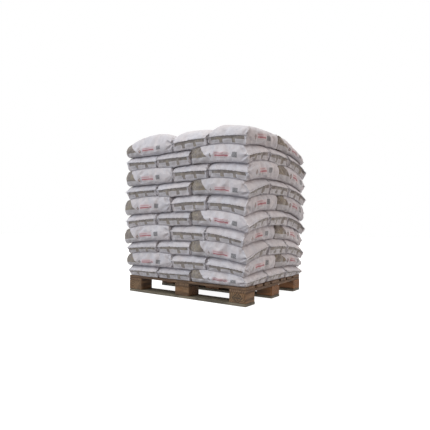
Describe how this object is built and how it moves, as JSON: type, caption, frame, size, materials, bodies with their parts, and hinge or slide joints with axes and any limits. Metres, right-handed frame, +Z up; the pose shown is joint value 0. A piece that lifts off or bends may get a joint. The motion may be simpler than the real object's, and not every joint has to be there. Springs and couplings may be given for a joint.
{
  "type": "pallet of sacks",
  "caption": "Wooden four-way block pallet loaded with a square bonded stack of filled film sacks, lying flat in alternating layers, for storing and moving bagged bulk goods by fork truck.",
  "frame": {"origin": "middle of the pallet's underside, on the middle bottom board, at floor level", "axes": "+Z up, +X along the pallet's 1200 mm side, +Y towards its back; the side with the long bottom board faces -Y"},
  "size_m": [1.2994, 1.1055, 1.4036],
  "materials": {
    "weathered_board": "weathered sawn softwood, grey brown",
    "block_wood": "sawn softwood block with end grain, brown",
    "deck_wood": "sawn softwood board, brown",
    "sack_film": "off-white polyethylene film with a soft sheen and a plain brown, red and grey print"
  },
  "bodies": {
    "root": {"bottom_board_front": "weathered_board", "bottom_board_middle": "weathered_board", "bottom_board_back": "weathered_board", "block_front_left": "block_wood", "block_front_centre": "block_wood", "block_front_right": "block_wood", "block_middle_left": "block_wood", "block_middle_centre": "block_wood", "block_middle_right": "block_wood", "block_back_left": "block_wood", "block_back_centre": "block_wood", "block_back_right": "block_wood", "stringer_board_left": "deck_wood", "stringer_board_centre": "deck_wood", "stringer_board_right": "deck_wood", "deck_board_1": "deck_wood", "deck_board_2": "deck_wood", "deck_board_3": "deck_wood", "deck_board_4": "deck_wood", "deck_board_5": "deck_wood", "deck_board_6": "deck_wood", "deck_board_7": "deck_wood", "sack_layer_01": "sack_film", "sack_layer_02": "sack_film", "sack_layer_03": "sack_film", "sack_layer_04": "sack_film", "sack_layer_05": "sack_film", "sack_layer_06": "sack_film", "sack_layer_07": "sack_film", "sack_layer_08": "sack_film", "sack_layer_09": "sack_film", "sack_layer_10": "sack_film"}
  },
  "joints": []
}
